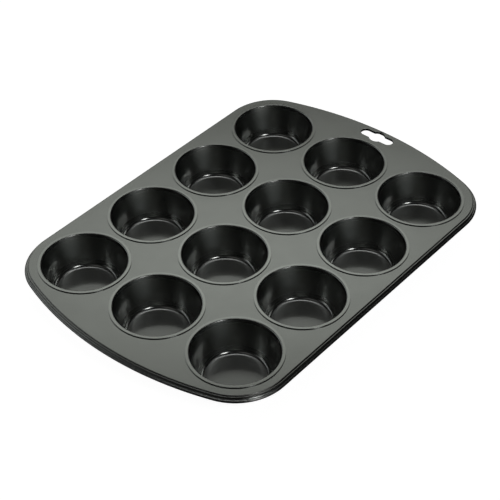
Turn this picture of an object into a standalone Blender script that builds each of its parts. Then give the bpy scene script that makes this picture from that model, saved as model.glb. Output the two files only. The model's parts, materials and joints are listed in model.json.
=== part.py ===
"""Muffin tin: a sheet-steel plate with a rolled rim, twelve drawn cups seated in its holes,
and a steel wire inside the rolled rim.

Units are metres, +Z is up. The origin is the middle of the tin on the plane of the cups'
undersides. +X runs along the length, towards the end with the hanging slot.
"""

import math

import bmesh
import bpy
from mathutils import Vector

MM = 0.001

# Whole tin
TIN_HEIGHT = 30.0 * MM  # undersides of the cups to the tops of their flanges
SHEET = 0.5 * MM  # thickness of the steel in every pressed piece
GAP = 0.3 * MM  # clearance between pieces that touch

# Grid of cups
COLUMNS = 4  # along X
ROWS = 3  # along Y
PITCH = 84.0 * MM

# Cup, inner surface
MOUTH_RADIUS = 36.5 * MM
FLANGE_RADIUS = 39.9 * MM
LIP_RADIUS = 0.8 * MM
WALL_TAPER = math.radians(16.5)  # between the wall and the vertical
FLOOR_BEND_RADIUS = 4.6 * MM

# Plate: straight long sides, bulging short ends and round corners
PLATE_HALF_LENGTH = 186.4 * MM
PLATE_HALF_WIDTH = 130.4 * MM
END_ARC_RADIUS = 305.0 * MM
CORNER_RADIUS = 45.0 * MM

# Collar turned down around each hole of the plate
HOLE_RADIUS = 37.9 * MM
COLLAR_DEPTH = 3.4 * MM
COLLAR_BEND = 0.7 * MM

# Rim, measured outwards and downwards from the edge of the plate's flat top
STEP_RADIUS = 0.8 * MM
STEP_DROP = 1.05 * MM
LEDGE_START = 0.95 * MM
SKIRT_OUT = 1.9 * MM
SKIRT_BEND = 0.4 * MM
SKIRT_DROP = 2.9 * MM
BEAD_RADIUS = 1.3 * MM
BEAD_OUT = 2.8 * MM
BEAD_DROP = 4.6 * MM
WIRE_RADIUS = 0.5 * MM

# Hanging slot: a long opening across the tin with a round lobe at its middle
SLOT_X = 177.2 * MM
SLOT_LENGTH = 35.0 * MM
SLOT_WIDTH = 10.0 * MM
SLOT_LOBE_RADIUS = 7.6 * MM

# Facets
CUP_SEGMENTS = 24
CORNER_SEGMENTS = 6
END_SEGMENTS = 10
WIRE_SEGMENTS = 6

PLATE_TOP = TIN_HEIGHT - SHEET - GAP


def arc(centre, radius, start, end, steps):
    """Points on a circle from one angle to another, both in degrees and both included."""
    points = []
    for step in range(steps + 1):
        angle = math.radians(start + (end - start) * step / steps)
        offset = Vector((math.cos(angle), math.sin(angle))) * radius
        points.append(Vector(centre) + offset)
    return points


def shifted(path, distance, start_direction=None, end_direction=None):
    """The path moved sideways, to its left where distance is positive, with mitred corners.

    A start or end direction is that of a straight run which continues the path there.
    """
    directions = [(b - a).normalized() for a, b in zip(path, path[1:])]
    before = [start_direction or directions[0]] + directions
    after = directions + [end_direction or directions[-1]]
    moved = []
    for point, arriving, leaving in zip(path, before, after):
        mitre = (arriving + leaving).normalized()
        left = Vector((-mitre.y, mitre.x))
        leaving_left = Vector((-leaving.y, leaving.x))
        moved.append(point + left * distance / left.dot(leaving_left))
    return moved


def circle_loop(bm, radius, height, centre=(0.0, 0.0)):
    """A ring of vertices with the same facets as every other ring around that centre."""
    ring = arc(centre, radius, 0, 360, CUP_SEGMENTS)[:-1]
    return [bm.verts.new((point.x, point.y, height)) for point in ring]


def flat_loop(bm, points, height):
    """A closed row of vertices at one height."""
    return [bm.verts.new((point.x, point.y, height)) for point in points]


def join_loops(bm, loops):
    """Faces between each closed row of vertices and the next."""
    for lower, upper in zip(loops, loops[1:]):
        for i in range(len(lower)):
            j = (i + 1) % len(lower)
            bm.faces.new((lower[i], lower[j], upper[j], upper[i]))


def loop_edges(bm, loop):
    """The edges around a closed row of vertices."""
    pairs = zip(loop, loop[1:] + loop[:1])
    return [bm.edges.get(pair) or bm.edges.new(pair) for pair in pairs]


def finished_mesh(name, bm, material, sharp_angle=35.0):
    """A smooth-shaded mesh with its faces pointing out."""
    bmesh.ops.recalc_face_normals(bm, faces=bm.faces)
    mesh = bpy.data.meshes.new(name)
    bm.to_mesh(mesh)
    bm.free()
    mesh.materials.append(material)
    mesh.shade_smooth()
    mesh.set_sharp_from_angle(angle=math.radians(sharp_angle))
    return mesh


def add_object(name, mesh, parent, location=(0.0, 0.0, 0.0)):
    """A named object under the tin's empty."""
    item = bpy.data.objects.new(name, mesh)
    item.location = location
    item.parent = parent
    bpy.context.scene.collection.objects.link(item)
    return item


def make_material(name, color, roughness, metallic):
    """A Principled material with one colour."""
    material = bpy.data.materials.new(name)
    material.use_nodes = True
    material.diffuse_color = (*color, 1.0)
    shader = material.node_tree.nodes["Principled BSDF"]
    shader.inputs["Base Color"].default_value = (*color, 1.0)
    shader.inputs["Roughness"].default_value = roughness
    shader.inputs["Metallic"].default_value = metallic
    return material


def cup_path():
    """Inner surface of a cup in (radius, height), from the flange's edge to the flat floor.

    Height is measured from the top of the flange.
    """
    taper = math.degrees(WALL_TAPER)
    lip_centre = (MOUTH_RADIUS + LIP_RADIUS, -LIP_RADIUS)
    lip = arc(lip_centre, LIP_RADIUS, 90, 180 - taper, 1)
    bend_height = -(TIN_HEIGHT - SHEET - FLOOR_BEND_RADIUS)
    wall_radius = lip[-1].x - (lip[-1].y - bend_height) * math.tan(WALL_TAPER)
    bend_centre = (wall_radius - FLOOR_BEND_RADIUS / math.cos(WALL_TAPER), bend_height)
    floor_bend = arc(bend_centre, FLOOR_BEND_RADIUS, -taper, -90, 2)
    return [Vector((FLANGE_RADIUS, 0.0))] + lip + floor_bend


def cup_mesh(material):
    """A drawn cup with a flat flange, its mouth at TIN_HEIGHT and its underside at zero."""
    inside = cup_path()
    inwards = Vector((-1.0, 0.0))
    outside = shifted(inside, SHEET, start_direction=inwards, end_direction=inwards)
    bm = bmesh.new()
    section = inside[::-1] + outside
    loops = [circle_loop(bm, point.x, TIN_HEIGHT + point.y) for point in section]
    join_loops(bm, loops)
    bm.faces.new(loops[0])
    bm.faces.new(loops[-1])
    return finished_mesh("cup", bm, material)


def plate_stations():
    """Points around the plate's outline and the outward direction at each of them."""
    corner_y = PLATE_HALF_WIDTH - CORNER_RADIUS
    end_centre_x = PLATE_HALF_LENGTH - END_ARC_RADIUS
    corner_x = end_centre_x + math.sqrt((END_ARC_RADIUS - CORNER_RADIUS) ** 2 - corner_y**2)
    meeting = math.degrees(math.atan2(corner_y, corner_x - end_centre_x))
    end = arc((end_centre_x, 0.0), END_ARC_RADIUS, -meeting, meeting, END_SEGMENTS)
    corner = arc((corner_x, corner_y), CORNER_RADIUS, meeting, 90, CORNER_SEGMENTS)
    end_normals = arc((0.0, 0.0), 1.0, -meeting, meeting, END_SEGMENTS)
    corner_normals = arc((0.0, 0.0), 1.0, meeting, 90, CORNER_SEGMENTS)

    mirrored = [Vector((p.x, -p.y)) for p in corner[:0:-1]]
    mirrored_normals = [Vector((n.x, -n.y)) for n in corner_normals[:0:-1]]
    points = mirrored + end + corner[1:]
    normals = mirrored_normals + end_normals + corner_normals[1:]
    points += [-p for p in points]
    normals += [-n for n in normals]
    return list(zip(points, normals))


def rim_path():
    """Top surface of the plate's edge in (outwards, up), from the flat to the bead's free end."""
    step = arc((0.0, -STEP_RADIUS), STEP_RADIUS, 90, 15, 2)
    ledge = [Vector((LEDGE_START, -STEP_DROP)), Vector((SKIRT_OUT - SKIRT_BEND, -STEP_DROP))]
    skirt = [Vector((SKIRT_OUT, -STEP_DROP - SKIRT_BEND)), Vector((SKIRT_OUT, -SKIRT_DROP))]
    bead = arc((BEAD_OUT, -BEAD_DROP), BEAD_RADIUS, 108, -216, 9)
    return step + ledge + skirt + bead


def rim_loops(bm, stations):
    """Rows of vertices round the rim, from the plate's top face to its underside."""
    top = rim_path()
    underside = shifted(top, -SHEET, start_direction=Vector((1.0, 0.0)))
    loops = []
    for profile in top + underside[::-1]:
        loop = []
        for point, normal in stations:
            place = point + normal * profile.x
            loop.append(bm.verts.new((place.x, place.y, PLATE_TOP + profile.y)))
        loops.append(loop)
    return loops


def collar_loops(bm, centre):
    """Rows of vertices through one hole, down its collar and back to the plate's underside."""
    bend = COLLAR_BEND
    taper_in = (COLLAR_DEPTH - bend) * math.tan(WALL_TAPER)
    top = [
        Vector((HOLE_RADIUS, 0.0)),
        Vector((HOLE_RADIUS - bend, -bend)),
        Vector((HOLE_RADIUS - bend - taper_in, -COLLAR_DEPTH)),
    ]
    underside = shifted(top, SHEET, start_direction=Vector((-1.0, 0.0)))
    section = top + underside[::-1]
    return [circle_loop(bm, point.x, PLATE_TOP + point.y, centre) for point in section]


def slot_outline():
    """The hanging slot's edge, counter-clockwise: two round-ended arms and a round lobe."""
    half_width = SLOT_WIDTH / 2
    arm_centre_y = SLOT_LENGTH / 2 - half_width
    lobe_start = math.degrees(math.acos(half_width / SLOT_LOBE_RADIUS))
    outline = arc((SLOT_X, 0.0), SLOT_LOBE_RADIUS, -lobe_start, lobe_start, 6)
    outline += arc((SLOT_X, arm_centre_y), half_width, 0, 180, 6)
    outline += arc((SLOT_X, 0.0), SLOT_LOBE_RADIUS, 180 - lobe_start, 180 + lobe_start, 6)
    outline += arc((SLOT_X, -arm_centre_y), half_width, 180, 360, 6)
    return outline


def cup_centres():
    """Name and centre of each cup, row by row."""
    centres = {}
    for row in range(ROWS):
        for column in range(COLUMNS):
            x = (column - (COLUMNS - 1) / 2) * PITCH
            y = (row - (ROWS - 1) / 2) * PITCH
            centres[f"cup_r{row + 1}_c{column + 1}"] = (x, y)
    return centres


def frame_mesh(centres, material):
    """The plate with its rolled rim, its twelve collared holes and the hanging slot."""
    bm = bmesh.new()
    openings = [rim_loops(bm, plate_stations())]
    openings += [collar_loops(bm, centre) for centre in centres]
    slot = slot_outline()
    openings.append([flat_loop(bm, slot, height) for height in (PLATE_TOP, PLATE_TOP - SHEET)])
    for loops in openings:
        join_loops(bm, loops)
    for side, up in ((0, 1.0), (-1, -1.0)):
        edges = [edge for loops in openings for edge in loop_edges(bm, loops[side])]
        bmesh.ops.triangle_fill(bm, use_beauty=True, edges=edges, normal=(0.0, 0.0, up))
    return finished_mesh("pan_frame", bm, material)


def wire_mesh(material):
    """The closed loop of wire that the rim is rolled around."""
    bm = bmesh.new()
    rings = []
    for point, normal in plate_stations():
        ring = []
        for offset in arc((BEAD_OUT, -BEAD_DROP), WIRE_RADIUS, 0, 360, WIRE_SEGMENTS)[:-1]:
            place = point + normal * offset.x
            ring.append(bm.verts.new((place.x, place.y, PLATE_TOP + offset.y)))
        rings.append(ring)
    join_loops(bm, rings + rings[:1])
    return finished_mesh("rim_wire", bm, material)


def main():
    for item in list(bpy.data.objects):
        bpy.data.objects.remove(item, do_unlink=True)

    frame_coating = make_material("frame_coating", (0.075, 0.078, 0.073), 0.32, 0.3)
    cup_coating = make_material("cup_coating", (0.06, 0.063, 0.06), 0.3, 0.3)
    wire_steel = make_material("wire_steel", (0.55, 0.55, 0.56), 0.35, 1.0)

    tin = add_object("muffin_tin", None, None)
    centres = cup_centres()
    add_object("pan_frame", frame_mesh(centres.values(), frame_coating), tin)
    add_object("rim_wire", wire_mesh(wire_steel), tin)
    cup = cup_mesh(cup_coating)
    for name, (x, y) in centres.items():
        add_object(name, cup, tin, (x, y, 0.0))


main()
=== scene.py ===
"""Looks of the muffin tin: fine meshes of the pressed pieces, their coatings, studio and camera.

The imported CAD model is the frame. Its plate and cups are replaced here by finer meshes, and its
rim wire stays. Their sections follow the CAD to within tenths of a millimetre, except that the
sheet here also turns down around the hanging slot. Units are metres and +Z is up.
"""

import json
import math

import bmesh
import bpy
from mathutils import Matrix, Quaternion, Vector, noise
from mathutils.geometry import delaunay_2d_cdt


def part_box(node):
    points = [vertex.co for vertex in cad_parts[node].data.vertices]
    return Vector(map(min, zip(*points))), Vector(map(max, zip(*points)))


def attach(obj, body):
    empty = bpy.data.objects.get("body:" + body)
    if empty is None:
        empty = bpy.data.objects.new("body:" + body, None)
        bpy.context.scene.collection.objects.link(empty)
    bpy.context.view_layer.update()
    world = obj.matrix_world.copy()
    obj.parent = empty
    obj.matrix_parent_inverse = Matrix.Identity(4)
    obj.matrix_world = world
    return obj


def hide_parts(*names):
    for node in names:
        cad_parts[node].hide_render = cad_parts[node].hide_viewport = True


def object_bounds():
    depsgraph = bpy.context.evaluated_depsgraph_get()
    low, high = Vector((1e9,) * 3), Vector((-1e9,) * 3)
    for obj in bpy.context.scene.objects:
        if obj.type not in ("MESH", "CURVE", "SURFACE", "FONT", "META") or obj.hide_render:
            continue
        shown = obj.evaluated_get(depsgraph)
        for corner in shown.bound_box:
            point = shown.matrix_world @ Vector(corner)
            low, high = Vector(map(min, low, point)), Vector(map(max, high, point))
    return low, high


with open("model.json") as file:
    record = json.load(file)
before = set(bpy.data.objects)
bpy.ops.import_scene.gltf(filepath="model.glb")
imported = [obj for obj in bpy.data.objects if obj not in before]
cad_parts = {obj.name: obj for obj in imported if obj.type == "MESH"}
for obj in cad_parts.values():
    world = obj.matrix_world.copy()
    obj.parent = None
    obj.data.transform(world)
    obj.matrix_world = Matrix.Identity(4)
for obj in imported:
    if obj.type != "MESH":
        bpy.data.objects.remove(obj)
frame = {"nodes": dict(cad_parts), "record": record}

MM = 0.001

# Pressed sheet, the same in every piece
SHEET = 0.5 * MM
CUT_EDGE_RADIUS = 0.14 * MM  # rounding that the coating gives to a cut edge

# Cup, inner surface
MOUTH_RADIUS = 36.5 * MM
LIP_RADIUS = 1.1 * MM
WALL_TAPER = math.radians(16.5)  # between the wall and the vertical
FLOOR_BEND_RADIUS = 4.6 * MM
FLOOR_HUB_RADIUS = 2.0 * MM  # one flat face closes the floor's middle

# Plate outline: straight long sides, bulging short ends and round corners
END_ARC_RADIUS = 305.0 * MM
CORNER_RADIUS = 45.0 * MM

# Collar turned down around each hole of the plate
HOLE_RADIUS = 37.9 * MM
COLLAR_BEND = 0.66 * MM
COLLAR_DEPTH = 3.4 * MM

# Rim section, measured outwards and downwards from the edge of the plate's flat top
STEP_OUT = 0.6 * MM
STEP_RADIUS = 0.5 * MM
STEP_DROP = 1.05 * MM
LEDGE_START = 0.95 * MM
LEDGE_FILLET = 0.12 * MM
SKIRT_OUT = 1.9 * MM
SKIRT_BEND = 0.2 * MM
SKIRT_DROP = 2.9 * MM
BEAD_RADIUS = 1.3 * MM
BEAD_OUT = 2.8 * MM
BEAD_DROP = 4.6 * MM
BEAD_START = 108  # degrees; the rolled sheet runs clockwise from here
BEAD_END = -216
BEAD_LEAD = 14  # degrees of the roll that the fillet from the skirt takes up
BEAD_STEPS = 37
SKIRT_FOOT_FILLET = 0.5 * MM
BEAD_FILLET = 0.35 * MM

# Hanging slot: two round-ended arms and a round lobe at its middle
SLOT_LENGTH = 35.0 * MM
SLOT_WIDTH = 10.0 * MM
SLOT_LOBE_RADIUS = 7.6 * MM
SLOT_LIP_DEPTH = 2.3 * MM  # how far the sheet turns down around the slot
SLOT_LIP_RADIUS = 0.3 * MM
LOBE_STEPS = 16
ARM_STEPS = 20

# Fineness of the meshes
CUP_SEGMENTS = 96
ARC_STEP = math.radians(8)
STATION_SPACING = 3.5 * MM
FLAT_SPACING = 5.0 * MM
STRAIGHT_SPACING = 3.0 * MM
BEND_MARGIN = 0.25 * MM  # extra row beside each bend, which keeps the shading of flats flat
FLAT_STRIP = 1.2 * MM  # plate face kept beside each edge, as part of the edge's section
HOLE_CLEARANCE = 1.0 * MM  # a triangle whose middle is nearer to a hole is left out
LEAST_RADIUS = 0.05 * MM
MERGE_DISTANCE = 1e-7

# Unevenness of pressed sheet
PLATE_WAVE_HEIGHT = 0.05 * MM
PLATE_WAVE_LENGTH = 45.0 * MM
PLATE_WAVE_FADE = 8.0 * MM  # distance from an edge over which the waves grow
WALL_WAVE_HEIGHT = 0.02 * MM
WALL_WAVE_FADE = 20.0 * MM  # radius below which the waves of a floor die out
WALL_WAVES_AROUND = 1.1  # noise cells in one radius around the wall
WALL_WAVES_DOWN = 1.5  # noise cells from the mouth to the floor
WALL_WAVE_RISE = 3  # the waves reach full height at a third of the depth
CUP_SEED_SCALE = 40  # noise cells in a metre, which gives each cup its own waves

ROOT = "root"
PLATE_NODE = "pan_frame"
WIRE_NODE = "rim_wire"
CUP_NODES = sorted(name for name in frame["nodes"] if name.startswith("cup_"))

cad_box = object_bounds()
plate_low, plate_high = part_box(PLATE_NODE)
cup_low, cup_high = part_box(CUP_NODES[0])

PLATE_TOP = plate_high.z
RIM_WIDTH = BEAD_OUT + BEAD_RADIUS
PLATE_HALF_LENGTH = plate_high.x - RIM_WIDTH
PLATE_HALF_WIDTH = plate_high.y - RIM_WIDTH
MOUTH_HEIGHT = cup_high.z
CUP_DEPTH = cup_high.z - cup_low.z - SHEET
FLANGE_RADIUS = (cup_high.x - cup_low.x) / 2


def arc(centre, radius, start, end, steps):
    """Points on a circle from one angle to another, both in degrees and both included."""
    points = []
    for step in range(steps + 1):
        angle = math.radians(start + (end - start) * step / steps)
        offset = Vector((math.cos(angle), math.sin(angle))) * radius
        points.append(Vector(centre) + offset)
    return points


def turn_between(arriving, leaving):
    """Signed angle from one direction to the other, positive to the left."""
    return math.atan2(arriving.cross(leaving), arriving.dot(leaving))


def offset_corners(corners, distance):
    """Corners (x, y, radius) moved to the left by a distance, each arc staying concentric."""
    points = [Vector(corner[:2]) for corner in corners]
    directions = [(b - a).normalized() for a, b in zip(points, points[1:])]
    before = directions[:1] + directions
    after = directions + directions[-1:]
    moved = []
    for point, corner, arriving, leaving in zip(points, corners, before, after):
        mitre = (arriving + leaving).normalized()
        left = Vector((-mitre.y, mitre.x))
        place = point + left * distance / left.dot(Vector((-leaving.y, leaving.x)))
        radius = corner[2]
        if radius:
            side = math.copysign(1.0, turn_between(arriving, leaving))
            radius = max(radius - side * distance, LEAST_RADIUS)
        moved.append((place.x, place.y, radius))
    return moved


def filleted(corners):
    """The path through corners (x, y, radius), each one rounded by an arc of its radius."""
    path = [Vector(corners[0][:2])]
    for before, corner, after in zip(corners, corners[1:], corners[2:]):
        here = Vector(corner[:2])
        if not corner[2]:
            path.append(here)
            continue
        arriving = (here - Vector(before[:2])).normalized()
        leaving = (Vector(after[:2]) - here).normalized()
        turn = turn_between(arriving, leaving)
        side = math.copysign(corner[2], turn)
        first = here - arriving * corner[2] * math.tan(abs(turn) / 2)
        centre = first + Vector((-arriving.y, arriving.x)) * side
        start = math.degrees(math.atan2(first.y - centre.y, first.x - centre.x))
        steps = max(2, math.ceil(abs(turn) / ARC_STEP))
        path += arc(centre, corner[2], start, start + math.degrees(turn), steps)
    path.append(Vector(corners[-1][:2]))
    return path


def supported(path):
    """The path with a point beside the ends of each straight run and even points between."""
    points = path[:1]
    for a, b in zip(path, path[1:]):
        length = (b - a).length
        if length > 3 * BEND_MARGIN:
            middle = length - 2 * BEND_MARGIN
            count = math.ceil(middle / STRAIGHT_SPACING)
            for i in range(count + 1):
                points.append(a.lerp(b, (BEND_MARGIN + middle * i / count) / length))
        points.append(b)
    return points


def sheet_section(corners):
    """Closed section of sheet whose upper face follows corners, from its root to its cut edge.

    The sheet lies to the right of that face, and the section ends below where it began.
    """
    under = offset_corners(corners, -SHEET)
    edge = [(*corners[-1][:2], CUT_EDGE_RADIUS), (*under[-1][:2], CUT_EDGE_RADIUS)]
    return supported(filleted(corners[:-1] + edge + under[-2::-1]))


def cup_section():
    """Section of a cup in (radius, height), from the floor's middle up to the flange's edge."""
    bend = math.tan((math.pi / 2 - WALL_TAPER) / 2)
    lip = MOUTH_RADIUS + LIP_RADIUS * (1 - bend)
    floor = lip - CUP_DEPTH * math.tan(WALL_TAPER)
    corners = [
        (FLOOR_HUB_RADIUS, -CUP_DEPTH, 0.0),
        (floor, -CUP_DEPTH, FLOOR_BEND_RADIUS),
        (lip, 0.0, LIP_RADIUS),
        (FLANGE_RADIUS, 0.0, 0.0),
    ]
    return sheet_section(corners)


def collar_section():
    """Section of a hole's collar in (inwards, up), from the flat plate to the collar's edge."""
    bend = COLLAR_BEND * math.tan((math.pi / 2 - WALL_TAPER) / 2)
    lean = COLLAR_DEPTH * math.tan(WALL_TAPER)
    corners = [(-FLAT_STRIP, 0.0, 0.0), (bend, 0.0, COLLAR_BEND), (bend + lean, -COLLAR_DEPTH, 0.0)]
    return sheet_section(corners)


def rim_section():
    """Section of the plate's rim in (outwards, up), from the flat plate to the bead's edge."""
    bead_centre = (BEAD_OUT, -BEAD_DROP)
    start = arc(bead_centre, BEAD_RADIUS, BEAD_START, BEAD_START, 1)[0]
    corners = [
        (-FLAT_STRIP, 0.0, 0.0),
        (STEP_OUT, 0.0, STEP_RADIUS),
        (LEDGE_START, -STEP_DROP, LEDGE_FILLET),
        (SKIRT_OUT, -STEP_DROP, SKIRT_BEND),
        (SKIRT_OUT, -SKIRT_DROP, SKIRT_FOOT_FILLET),
        (start.x, start.y, BEAD_FILLET),
    ]
    roll = arc(bead_centre, BEAD_RADIUS, BEAD_START - BEAD_LEAD, BEAD_END, BEAD_STEPS)
    corners += [(point.x, point.y, 0.0) for point in roll]
    return sheet_section(corners)


def join_loops(bm, loops):
    """Faces between each closed row of vertices and the next."""
    for lower, upper in zip(loops, loops[1:]):
        for i in range(len(lower)):
            j = (i + 1) % len(lower)
            bm.faces.new((lower[i], lower[j], upper[j], upper[i]))


def finished_piece(name, bm, material, location=(0.0, 0.0, 0.0)):
    """A smooth-shaded object made of bm, with its faces pointing out."""
    bmesh.ops.recalc_face_normals(bm, faces=bm.faces)
    mesh = bpy.data.meshes.new(name)
    bm.to_mesh(mesh)
    bm.free()
    mesh.materials.append(material)
    mesh.shade_smooth()
    piece = bpy.data.objects.new(name, mesh)
    piece.location = location
    bpy.context.scene.collection.objects.link(piece)
    return piece


def cup_piece(name, material):
    """A fine cup in the place of its CAD node, with the slight unevenness of a drawn wall."""
    low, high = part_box(name)
    centre = (low + high) / 2
    seed = Vector((centre.x, centre.y, 0.0)) * CUP_SEED_SCALE
    bm = bmesh.new()
    loops = []
    for point in cup_section():
        depth = -point.y / CUP_DEPTH
        strength = min(1.0, WALL_WAVE_RISE * depth) * min(1.0, point.x / WALL_WAVE_FADE)
        down = Vector((0.0, 0.0, depth * WALL_WAVES_DOWN))
        loop = []
        for i in range(CUP_SEGMENTS):
            angle = 2 * math.pi * i / CUP_SEGMENTS
            out = Vector((math.cos(angle), math.sin(angle), 0.0))
            wave = noise.noise(seed + out * WALL_WAVES_AROUND + down)
            where = out * (point.x + WALL_WAVE_HEIGHT * wave * strength)
            loop.append(bm.verts.new((where.x, where.y, MOUTH_HEIGHT + point.y)))
        loops.append(loop)
    join_loops(bm, loops)
    bm.faces.new(loops[0])
    bm.faces.new(loops[-1])
    return finished_piece(f"{name}_drawn", bm, material, (centre.x, centre.y, 0.0))


def plate_stations():
    """Points around the plate's outline and the outward direction at each of them."""
    corner_y = PLATE_HALF_WIDTH - CORNER_RADIUS
    end_x = PLATE_HALF_LENGTH - END_ARC_RADIUS
    corner_x = end_x + math.sqrt((END_ARC_RADIUS - CORNER_RADIUS) ** 2 - corner_y**2)
    meeting = math.degrees(math.atan2(corner_y, corner_x - end_x))

    def pairs(centre, radius, start, end):
        steps = math.ceil(radius * math.radians(end - start) / STATION_SPACING)
        return list(zip(arc(centre, radius, start, end, steps), arc((0, 0), 1.0, start, end, steps)))

    end = pairs((end_x, 0.0), END_ARC_RADIUS, -meeting, meeting)
    corner = pairs((corner_x, corner_y), CORNER_RADIUS, meeting, 90)
    below = [(Vector((p.x, -p.y)), Vector((n.x, -n.y))) for p, n in corner[:0:-1]]
    half = below + end + corner[1:]
    steps = math.ceil(2 * corner_x / STATION_SPACING)
    for i in range(1, steps):
        x = corner_x * (1 - 2 * i / steps)
        half.append((Vector((x, PLATE_HALF_WIDTH)), Vector((0.0, 1.0))))
    return half + [(-p, -n) for p, n in half]


def slot_outline(centre_x, grow):
    """The hanging slot's edge moved outwards by grow, counter-clockwise."""
    half_width = SLOT_WIDTH / 2 + grow
    lobe_radius = SLOT_LOBE_RADIUS + grow
    arm_y = (SLOT_LENGTH - SLOT_WIDTH) / 2
    lobe = math.degrees(math.acos(half_width / lobe_radius))
    outline = arc((centre_x, 0.0), lobe_radius, -lobe, lobe, LOBE_STEPS)
    outline += arc((centre_x, arm_y), half_width, 0, 180, ARM_STEPS)
    outline += arc((centre_x, 0.0), lobe_radius, 180 - lobe, 180 + lobe, LOBE_STEPS)
    outline += arc((centre_x, -arm_y), half_width, 180, 360, ARM_STEPS)
    return outline


def slot_section():
    """Section of the slot's lip in (inwards, up), from the flat plate to the lip's edge."""
    corners = [(-FLAT_STRIP, 0.0, 0.0), (0.0, 0.0, SLOT_LIP_RADIUS), (0.0, -SLOT_LIP_DEPTH, 0.0)]
    return sheet_section(corners)


def slot_loops(bm, centre_x):
    """Rows of vertices through the slot, from the plate's top face to its underside."""
    loops = []
    for point in slot_section():
        outline = slot_outline(centre_x, -point.x)
        loops.append([bm.verts.new((p.x, p.y, PLATE_TOP + point.y)) for p in outline])
    return loops


def rim_loops(bm):
    """Rows of vertices around the rim, from the plate's top face to its underside."""
    stations = plate_stations()
    loops = []
    for point in rim_section():
        places = [station + normal * point.x for station, normal in stations]
        loops.append([bm.verts.new((p.x, p.y, PLATE_TOP + point.y)) for p in places])
    return loops


def hole_loops(bm, centre):
    """Rows of vertices through one hole of the plate, from its top face to its underside."""
    loops = []
    for point in collar_section():
        ring = arc(centre, HOLE_RADIUS - point.x, 0, 360, CUP_SEGMENTS)[:-1]
        loops.append([bm.verts.new((p.x, p.y, PLATE_TOP + point.y)) for p in ring])
    return loops


def inside(point, outline):
    """Whether a point lies inside a closed outline."""
    crossings = 0
    for a, b in zip(outline, outline[1:] + outline[:1]):
        if (a.y > point.y) != (b.y > point.y):
            crossings += point.x < a.x + (point.y - a.y) * (b.x - a.x) / (b.y - a.y)
    return crossings % 2 == 1


def fill_flat(bm, outer, holes, centres, facing):
    """Triangles between an outer row of vertices and the rows around its openings.

    The rows in holes follow centres, and those after the last centre aren't round.
    """
    height = outer[0].co.z
    border = []
    edges = []
    for loop in [outer, *holes]:
        first = len(border)
        border += loop
        count = len(loop)
        edges += [(first + i, first + (i + 1) % count) for i in range(count)]
    outer_outline = [vert.co.xy for vert in outer]
    other_outlines = [[vert.co.xy for vert in loop] for loop in holes[len(centres):]]

    def on_plate(point):
        if any((point - centre).length < HOLE_RADIUS + HOLE_CLEARANCE for centre in centres):
            return False
        if any(inside(point, outline) for outline in other_outlines):
            return False
        return inside(point, outer_outline)

    grid = []
    columns = int(PLATE_HALF_LENGTH / FLAT_SPACING)
    rows = int(PLATE_HALF_WIDTH / FLAT_SPACING)
    for column in range(-columns, columns + 1):
        for row in range(-rows, rows + 1):
            point = Vector((column, row)) * FLAT_SPACING
            near = min((point - vert.co.xy).length for vert in border)
            if near > FLAT_SPACING / 2 and on_plate(point):
                grid.append(point)
    flat = [vert.co.xy.copy() for vert in border] + grid
    solution = delaunay_2d_cdt(flat, edges, [], 0, MERGE_DISTANCE)
    places, triangles, origins = solution[0], solution[2], solution[3]
    verts = []
    for place, origin in zip(places, origins):
        if origin and origin[0] < len(border):
            verts.append(border[origin[0]])
            continue
        near = min((place - vert.co.xy).length for vert in border)
        fade = min(1.0, near / PLATE_WAVE_FADE)
        wave = noise.noise(Vector((place.x, place.y, 0.0)) / PLATE_WAVE_LENGTH)
        lift = PLATE_WAVE_HEIGHT * wave * fade
        verts.append(bm.verts.new((place.x, place.y, height + lift)))
    for triangle in triangles:
        middle = sum((places[i] for i in triangle), Vector((0.0, 0.0))) / 3
        if on_plate(middle):
            order = triangle if facing > 0 else triangle[::-1]
            bm.faces.new([verts[i] for i in order])


def plate_piece(material):
    """The plate with its collared holes, hanging slot and rolled rim."""
    centres = []
    for name in CUP_NODES:
        low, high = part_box(name)
        centres.append(((low + high) / 2).xy)
    slot = next(o for o in frame["record"]["physics"]["openings"] if o["name"] == "hanging_slot")
    slot_x = (slot["box_m"][0][0] + slot["box_m"][1][0]) / 2
    bm = bmesh.new()
    rim = rim_loops(bm)
    openings = [hole_loops(bm, centre) for centre in centres]
    openings.append(slot_loops(bm, slot_x))
    for loops in [rim, *openings]:
        join_loops(bm, loops)
    for side, facing in ((0, 1), (-1, -1)):
        fill_flat(bm, rim[side], [loops[side] for loops in openings], centres, facing)
    return finished_piece("pan_frame_pressed", bm, material)


# Coating: colours, clear coat and unevenness
COATING_DARK = (0.265, 0.275, 0.263)
COATING_LIGHT = (0.285, 0.295, 0.283)
CLEAR_ROUGHNESS = 0.1
PLATE_ROUGHNESS = 0.24
CUP_ROUGHNESS = 0.18
CLOUD_SIZE = 14 * MM
CLOUD_ROUGHNESS = 0.015
GRAIN_SIZE = 0.45 * MM
GRAIN_ROUGHNESS = 0.01
GRAIN_DEPTH = 0.0008 * MM
SPECK_SIZE = 0.16 * MM
SPECK_DEPTH = 0.0003 * MM
STREAK_SIZE = 2.2 * MM
STREAK_UPRIGHT = (1.0, 1.0, 0.04)  # stretches the streaks up the wall
STREAK_ROUGHNESS = 0.01
STREAK_DEPTH = 0.0004 * MM
# Part of a cup's height, and what the roughness gains there
HEIGHT_ROUGHNESS = [
    (0.0, 0.2),
    (0.02, 0.2),
    (0.03, 0.0),
    (0.13, 0.0),
    (0.25, 0.12),
    (0.88, 0.12),
    (0.95, 0.0),
]

# Rim wire
WIRE_DARK = (0.42, 0.42, 0.43)
WIRE_LIGHT = (0.6, 0.6, 0.61)
WIRE_ROUGHNESS = (0.28, 0.42)
WIRE_MARK_SIZE = 0.3 * MM
WIRE_MARK_DEPTH = 0.004 * MM

# The middle part of a noise value's range, where nearly all of it lies
NOISE_LOW = 0.3
NOISE_HIGH = 0.7


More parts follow.
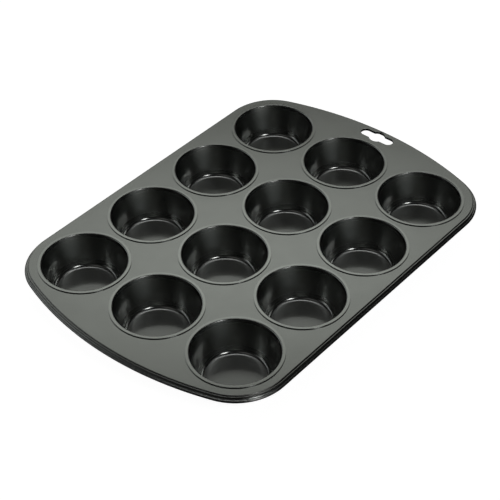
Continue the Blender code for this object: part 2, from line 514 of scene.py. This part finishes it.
def new_material(name):
    """A new node material, its tree and its surface shader."""
    material = bpy.data.materials.new(name)
    material.use_nodes = True
    tree = material.node_tree
    return material, tree, tree.nodes["Principled BSDF"]


def world_place(tree):
    """A node output with the place on the whole tin, so no two cups share a pattern."""
    coordinates = tree.nodes.new("ShaderNodeTexCoord")
    info = tree.nodes.new("ShaderNodeObjectInfo")
    add = tree.nodes.new("ShaderNodeVectorMath")
    add.operation = "ADD"
    tree.links.new(coordinates.outputs["Object"], add.inputs[0])
    tree.links.new(info.outputs["Location"], add.inputs[1])
    return add.outputs["Vector"]


def scaled(tree, vector, scale):
    """The vector with each part multiplied."""
    node = tree.nodes.new("ShaderNodeVectorMath")
    node.operation = "MULTIPLY"
    node.inputs[1].default_value = scale
    tree.links.new(vector, node.inputs[0])
    return node.outputs["Vector"]


def noise_node(tree, vector, size, detail, roughness=0.5):
    """Noise with features of a given size in metres."""
    node = tree.nodes.new("ShaderNodeTexNoise")
    node.inputs["Scale"].default_value = 1 / size
    node.inputs["Detail"].default_value = detail
    node.inputs["Roughness"].default_value = roughness
    tree.links.new(vector, node.inputs["Vector"])
    return node.outputs["Fac"]


def ranged(tree, value, low, high):
    """The middle of a noise value's range stretched to run from low to high."""
    node = tree.nodes.new("ShaderNodeMapRange")
    node.inputs["From Min"].default_value = NOISE_LOW
    node.inputs["From Max"].default_value = NOISE_HIGH
    node.inputs["To Min"].default_value = low
    node.inputs["To Max"].default_value = high
    tree.links.new(value, node.inputs["Value"])
    return node.outputs["Result"]


def mixed_color(tree, factor, first, second):
    """A colour between two, by a factor."""
    node = tree.nodes.new("ShaderNodeMix")
    node.data_type = "RGBA"
    node.inputs["A"].default_value = (*first, 1.0)
    node.inputs["B"].default_value = (*second, 1.0)
    tree.links.new(factor, node.inputs["Factor"])
    return node.outputs["Result"]


def bump_node(tree, height, depth, normal=None):
    """Relief of a given depth in metres on top of another normal."""
    node = tree.nodes.new("ShaderNodeBump")
    node.inputs["Strength"].default_value = 1.0
    node.inputs["Distance"].default_value = depth
    tree.links.new(height, node.inputs["Height"])
    if normal:
        tree.links.new(normal, node.inputs["Normal"])
    return node.outputs["Normal"]


def added(tree, first, second):
    """The sum of two values."""
    node = tree.nodes.new("ShaderNodeMath")
    node.operation = "ADD"
    tree.links.new(first, node.inputs[0])
    tree.links.new(second, node.inputs[1])
    return node.outputs["Value"]


def height_roughness(tree, place):
    """What a cup's roughness gains with height: a rough floor, a smooth bend, a duller wall."""
    parts = tree.nodes.new("ShaderNodeSeparateXYZ")
    height = tree.nodes.new("ShaderNodeMapRange")
    height.inputs["From Max"].default_value = MOUTH_HEIGHT
    ramp = tree.nodes.new("ShaderNodeValToRGB")
    elements = ramp.color_ramp.elements
    while len(elements) < len(HEIGHT_ROUGHNESS):
        elements.new(0.5)
    for element, (position, change) in zip(elements, HEIGHT_ROUGHNESS):
        element.position = position
        element.color = (change, change, change, 1.0)
    tree.links.new(place, parts.inputs["Vector"])
    tree.links.new(parts.outputs["Z"], height.inputs["Value"])
    tree.links.new(height.outputs["Result"], ramp.inputs["Fac"])
    return ramp.outputs["Color"]


def coating(name, roughness, drawn_wall):
    """Satin non-stick coating on steel: cloudy colour, fine grain and, on drawn walls, streaks."""
    material, tree, shader = new_material(name)
    place = world_place(tree)
    clouds = noise_node(tree, place, CLOUD_SIZE, detail=4)
    grain = noise_node(tree, place, GRAIN_SIZE, detail=2)
    specks = noise_node(tree, place, SPECK_SIZE, detail=1)
    shader.inputs["Metallic"].default_value = 1.0
    shader.inputs["Coat Weight"].default_value = 1.0
    shader.inputs["Coat Roughness"].default_value = CLEAR_ROUGHNESS
    color = mixed_color(tree, ranged(tree, clouds, 0.0, 1.0), COATING_DARK, COATING_LIGHT)
    tree.links.new(color, shader.inputs["Base Color"])
    rough = added(
        tree,
        ranged(tree, clouds, roughness - CLOUD_ROUGHNESS, roughness + CLOUD_ROUGHNESS),
        ranged(tree, grain, -GRAIN_ROUGHNESS, GRAIN_ROUGHNESS),
    )
    normal = bump_node(tree, grain, GRAIN_DEPTH)
    normal = bump_node(tree, specks, SPECK_DEPTH, normal)
    if drawn_wall:
        rough = added(tree, rough, height_roughness(tree, place))
        upright = scaled(tree, place, STREAK_UPRIGHT)
        streaks = noise_node(tree, upright, STREAK_SIZE, detail=3, roughness=0.6)
        rough = added(tree, rough, ranged(tree, streaks, -STREAK_ROUGHNESS, STREAK_ROUGHNESS))
        normal = bump_node(tree, streaks, STREAK_DEPTH, normal)
    tree.links.new(rough, shader.inputs["Roughness"])
    tree.links.new(normal, shader.inputs["Normal"])
    return material


def wire_steel():
    """Bare drawn wire with fine marks."""
    material, tree, shader = new_material("wire_steel")
    marks = noise_node(tree, world_place(tree), WIRE_MARK_SIZE, detail=3)
    shader.inputs["Metallic"].default_value = 1.0
    color = mixed_color(tree, ranged(tree, marks, 0.0, 1.0), WIRE_DARK, WIRE_LIGHT)
    tree.links.new(color, shader.inputs["Base Color"])
    tree.links.new(ranged(tree, marks, *WIRE_ROUGHNESS), shader.inputs["Roughness"])
    tree.links.new(bump_node(tree, marks, WIRE_MARK_DEPTH), shader.inputs["Normal"])
    return material


def direction(bearing, elevation):
    """Unit vector to a bearing, counter-clockwise from +X, and an elevation, in degrees."""
    turn = math.radians(bearing)
    rise = math.radians(elevation)
    return Vector((math.cos(turn) * math.cos(rise), math.sin(turn) * math.cos(rise), math.sin(rise)))


# Lamps as soft oval glows in the sky around the tin: bearing and elevation in degrees, half width
# and half height as parts of the distance, brightness in the middle, colour
GLOWS = {
    "key": (258, 45, 0.17, 0.18, 9.0, (1.0, 1.0, 1.0)),
    "back": (41, 41.2, 0.45, 0.14, 1.0, (0.95, 1.0, 0.945)),
    "back_wide": (41, 41.2, 0.75, 0.28, 0.14, (1.0, 0.93, 0.86)),
    "side": (112, 27, 1.10, 0.29, 1.0, (0.96, 0.99, 1.0)),
    "top": (41, 76, 0.50, 0.11, 3.0, (1.0, 1.0, 1.0)),
    "top_right": (331, 66, 0.35, 0.25, 0.4, (1.0, 1.0, 1.0)),
    "front": (180, 55, 0.55, 0.35, 0.15, (1.0, 0.97, 0.94)),
    "low_back": (34, 5, 1.10, 0.17, 0.8, (1.0, 0.97, 0.94)),
    "low_front": (259, 3, 0.60, 0.20, 1.2, (1.0, 0.97, 0.94)),
}
AMBIENT = (0.01, 0.01, 0.01)


def glow(tree, sky, bearing, elevation, half_width, half_height, brightness, color):
    """The light of one lamp, brightest in its middle and fading smoothly to its oval edge."""
    towards = direction(bearing, elevation)
    place = tree.nodes.new("ShaderNodeMapping")
    place.vector_type = "TEXTURE"
    place.inputs["Location"].default_value = towards
    place.inputs["Rotation"].default_value = towards.to_track_quat("Z", "Y").to_euler()
    place.inputs["Scale"].default_value = (half_width, half_height, 1.0)
    near = tree.nodes.new("ShaderNodeTexGradient")
    near.gradient_type = "SPHERICAL"
    fade = tree.nodes.new("ShaderNodeMapRange")
    fade.interpolation_type = "SMOOTHSTEP"
    light = tree.nodes.new("ShaderNodeVectorMath")
    light.operation = "SCALE"
    light.inputs[0].default_value = Vector(color) * brightness
    tree.links.new(sky, place.inputs["Vector"])
    tree.links.new(place.outputs["Vector"], near.inputs["Vector"])
    tree.links.new(near.outputs["Fac"], fade.inputs["Value"])
    tree.links.new(fade.outputs["Result"], light.inputs["Scale"])
    return light.outputs["Vector"]


def studio_world():
    """Nearly dark surroundings with the lamps' glows in them."""
    world = bpy.data.worlds.new("studio")
    world.use_nodes = True
    bpy.context.scene.world = world
    tree = world.node_tree
    sky = tree.nodes.new("ShaderNodeTexCoord").outputs["Generated"]
    total = None
    for values in GLOWS.values():
        more = tree.nodes.new("ShaderNodeVectorMath")
        more.operation = "ADD"
        more.inputs[0].default_value = AMBIENT
        if total:
            tree.links.new(total, more.inputs[0])
        tree.links.new(glow(tree, sky, *values), more.inputs[1])
        total = more.outputs["Vector"]
    tree.links.new(total, tree.nodes["Background"].inputs["Color"])


# Floor: a white that stays even, just under the tin
FLOOR_RADIUS = 30.0
FLOOR_SEGMENTS = 64
FLOOR_GAP = 0.05 * MM
FLOOR_COLOR = (0.35, 0.35, 0.35, 1.0)
FLOOR_ROUGHNESS = 0.9
FLOOR_GLOW = 0.97
WHITE = (1.0, 1.0, 1.0, 1.0)


def studio_floor():
    """A plain white floor under the tin, lit evenly, which the tin's metal doesn't mirror."""
    bm = bmesh.new()
    bmesh.ops.create_circle(bm, cap_ends=True, segments=FLOOR_SEGMENTS, radius=FLOOR_RADIUS)
    mesh = bpy.data.meshes.new("studio_floor")
    bm.to_mesh(mesh)
    bm.free()
    floor = bpy.data.objects.new("studio_floor", mesh)
    floor.location.z = cad_box[0].z - FLOOR_GAP
    bpy.context.scene.collection.objects.link(floor)
    material, _, shader = new_material("studio_floor")
    shader.inputs["Base Color"].default_value = FLOOR_COLOR
    shader.inputs["Roughness"].default_value = FLOOR_ROUGHNESS
    shader.inputs["Specular IOR Level"].default_value = 0.0
    shader.inputs["Emission Color"].default_value = WHITE
    shader.inputs["Emission Strength"].default_value = FLOOR_GLOW
    mesh.materials.append(material)
    floor.visible_glossy = False
    floor.visible_diffuse = False


# Camera: where it stands around the tin, and the point it looks at from the tin's middle
CAMERA_BEARING = 220.5
CAMERA_ELEVATION = 40.57
CAMERA_DISTANCE = 1182.5 * MM
CAMERA_ROLL = math.radians(-0.57)
CAMERA_LENS = 99.9
CAMERA_SENSOR = 36.0
CAMERA_CLIP = (0.01, 100.0)
AIM_OFFSET = Vector((-25.4, -14.3, 15.0)) * MM


def photo_camera(centre):
    """A long-lens camera above one corner of the tin."""
    data = bpy.data.cameras.new("camera")
    data.lens = CAMERA_LENS
    data.sensor_width = CAMERA_SENSOR
    data.clip_start, data.clip_end = CAMERA_CLIP
    camera = bpy.data.objects.new("camera", data)
    back = direction(CAMERA_BEARING, CAMERA_ELEVATION)
    camera.location = centre + AIM_OFFSET + back * CAMERA_DISTANCE
    camera.rotation_mode = "QUATERNION"
    roll = Quaternion((0.0, 0.0, 1.0), CAMERA_ROLL)
    camera.rotation_quaternion = back.to_track_quat("Z", "Y") @ roll
    bpy.context.scene.collection.objects.link(camera)
    bpy.context.scene.camera = camera


def main():
    """The camera, the fine pieces attached to their body in place of the CAD nodes they hide, the
    coatings, the wire's steel in its slot, and the studio.
    """
    photo_camera((cad_box[0] + cad_box[1]) / 2)

    plate = plate_piece(coating("frame_coating_satin", PLATE_ROUGHNESS, drawn_wall=False))
    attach(plate, ROOT)
    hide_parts(PLATE_NODE)

    cup_coating = coating("cup_coating_satin", CUP_ROUGHNESS, drawn_wall=True)
    for name in CUP_NODES:
        cup = cup_piece(name, cup_coating)
        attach(cup, ROOT)
        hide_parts(name)

    wire = frame["nodes"][WIRE_NODE]
    wire.material_slots[0].material = wire_steel()

    studio_floor()
    studio_world()
    bpy.context.scene.view_settings.view_transform = "Standard"


main()
